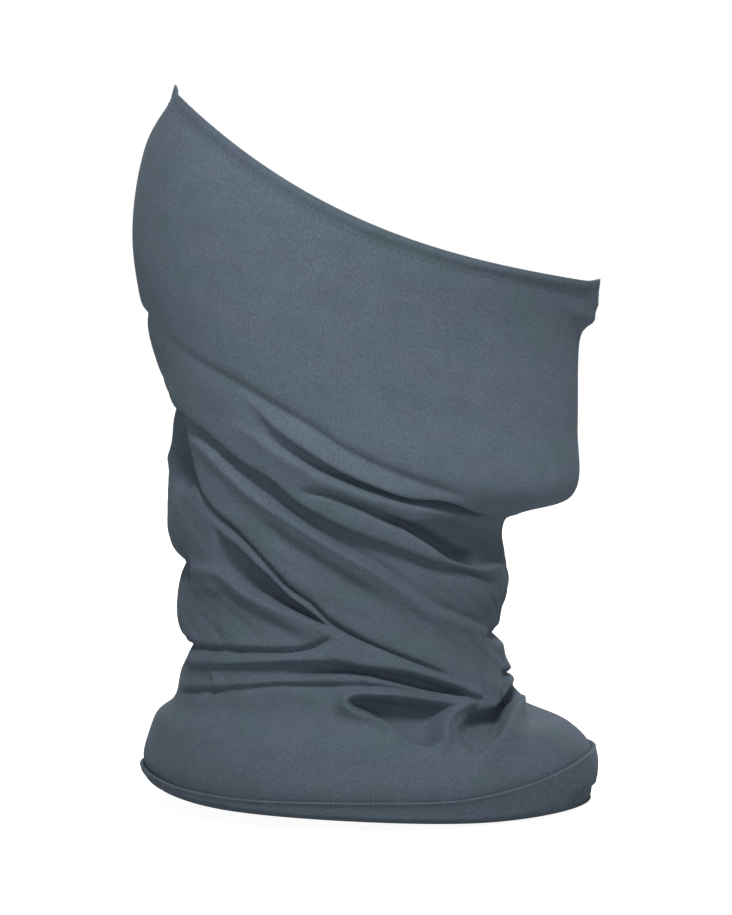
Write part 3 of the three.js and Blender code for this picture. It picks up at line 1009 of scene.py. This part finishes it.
# Name, place in metres, size and power: a high key, a low fill from the camera's side and one from behind.
LIGHTS = [
    ("key", (0.02, -1.0, 1.4), 0.4, 15.5),
    ("fill", (0.0, -2.2, 0.1), 1.0, 9),
    ("back", (0.3, 1.7, 1.4), 1.0, 22),
]
LIT = Vector((0, 0, 0.15))  # what the lights point at
CAMERA_AT = Vector((-0.0008, -1.3, 0.25))
CAMERA_AIM = Vector((-0.0008, 0, 0.165))
SENSOR, LENS = 36, 106.8


def build_floor():
    n = Nodes("studio_floor")
    at = n.add("ShaderNodeTexCoord").outputs["Object"]
    seen = n.add("ShaderNodeLightPath").outputs["Is Camera Ray"]
    n.finish(
        Base_Color=(0.5, 0.5, 0.5, 1), Roughness=n.between(n.noise(at, 3.0), 0.3, 0.7, 0.6, 0.75),
        Specular_IOR_Level=0.1, Emission_Color=(1, 1, 1, 1),
        Emission_Strength=n.product(seen, FLOOR_GLOW))
    bpy.ops.mesh.primitive_plane_add(size=FLOOR_SIZE, location=(0, 0, -FLOOR_DROP))
    floor = bpy.context.object
    floor.name = "floor"
    floor.data.materials.append(n.material)


def build_world():
    """The camera sees plain white; everything else gets soft, slightly blue light."""
    bpy.context.scene.view_settings.view_transform = "Standard"
    world = bpy.data.worlds.new("studio")
    bpy.context.scene.world = world
    world.use_nodes = True
    tree = world.node_tree
    shown = tree.nodes["Background"]
    light = tree.nodes.new("ShaderNodeBackground")
    for node, colour, strength in ((shown, (1, 1, 1, 1), 1.0), (light, (0.94, 0.97, 1, 1), AMBIENT)):
        node.inputs[0].default_value = colour
        node.inputs[1].default_value = strength
    path = tree.nodes.new("ShaderNodeLightPath")
    mix = tree.nodes.new("ShaderNodeMixShader")
    tree.links.new(path.outputs["Is Camera Ray"], mix.inputs[0])
    tree.links.new(light.outputs[0], mix.inputs[1])
    tree.links.new(shown.outputs[0], mix.inputs[2])
    tree.links.new(mix.outputs[0], tree.nodes["World Output"].inputs[0])


def place_facing(name, data, place, target):
    """Links a light or camera at a place, looking at a target."""
    obj = bpy.data.objects.new(name, data)
    obj.location = place
    obj.rotation_euler = (target - Vector(place)).to_track_quat("-Z", "Y").to_euler()
    bpy.context.scene.collection.objects.link(obj)
    return obj


def build_lights():
    for name, place, size, power in LIGHTS:
        data = bpy.data.lights.new(name, "AREA")
        data.size = size
        data.energy = power
        place_facing(name, data, place, LIT)


def build_camera():
    data = bpy.data.cameras.new("camera")
    data.sensor_width = SENSOR
    data.lens = LENS
    bpy.context.scene.camera = place_facing("camera", data, CAMERA_AT, CAMERA_AIM)


# ---- assembly

THREAD_OUT = -0.1  # from the cloth's face to the axis of an outside thread
LOOPER_OUT = -0.35
LOOPER_WIDTH = 3.0
LOOPER_PITCH = 3.2


def ride_neck(piece):
    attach(piece, "neck_part")


def ride_face(piece):
    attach(piece, "face_part")


def ride_both(piece):
    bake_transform(piece)


def install(piece, slot, ride, *nodes):
    """Hides the CAD nodes whose place a piece takes and passes the piece to ride. slot is not used."""
    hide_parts(*nodes)
    ride(piece)


outer, inner = cloth_grids()
knit = knit_material("jersey_face", 1.0)
thread = thread_material()

cloth = build_cloth(outer, inner, knit, knit_material("jersey_reverse", 1.08))
install(cloth, "knit", ride_both, "shoulder_skirt", "neck_gather", "face_cover", "top_hem")

cuff = cuff_grid(outer)
install(build_band("hem_band", cuff, knit), "knit", ride_neck, "bottom_cuff")

cuff_face = Surface(np.swapaxes(cuff[:, :len(CUFF_ROWS)], 0, 1))
stitched = stitch_row(cuff_face, lambda c: cuff_face.along[CUFF_STITCH_ROW, c.astype(int)], THREAD_OUT)
cuff_stitches = build_rods("hem_band_stitches", stitched, THREAD_RADIUS, thread)
install(cuff_stitches, "thread", ride_neck, "bottom_cuff_thread")

stitched = stitch_row(Surface(outer, from_top=True), TROUGH_AT, THREAD_OUT)
needle = build_rods("top_needle_stitches", stitched, THREAD_RADIUS, thread)
install(needle, "thread", ride_face, "top_hem_needle_thread")

looped = zigzag_row(Surface(inner, from_top=True), TROUGH_AT, LOOPER_OUT, LOOPER_WIDTH, LOOPER_PITCH)
looper = build_rods("top_looper_zigzag", looped, THREAD_RADIUS, thread)
install(looper, "thread", ride_face, "top_hem_looper_thread")

seam = build_seam(inner, thread)
install(seam, "thread", ride_both, "back_seam_skirt", "back_seam_neck", "back_seam_face")
install(build_label(inner, satin_material()), "label", ride_neck, "care_label")

build_floor()
build_world()
build_lights()
build_camera()
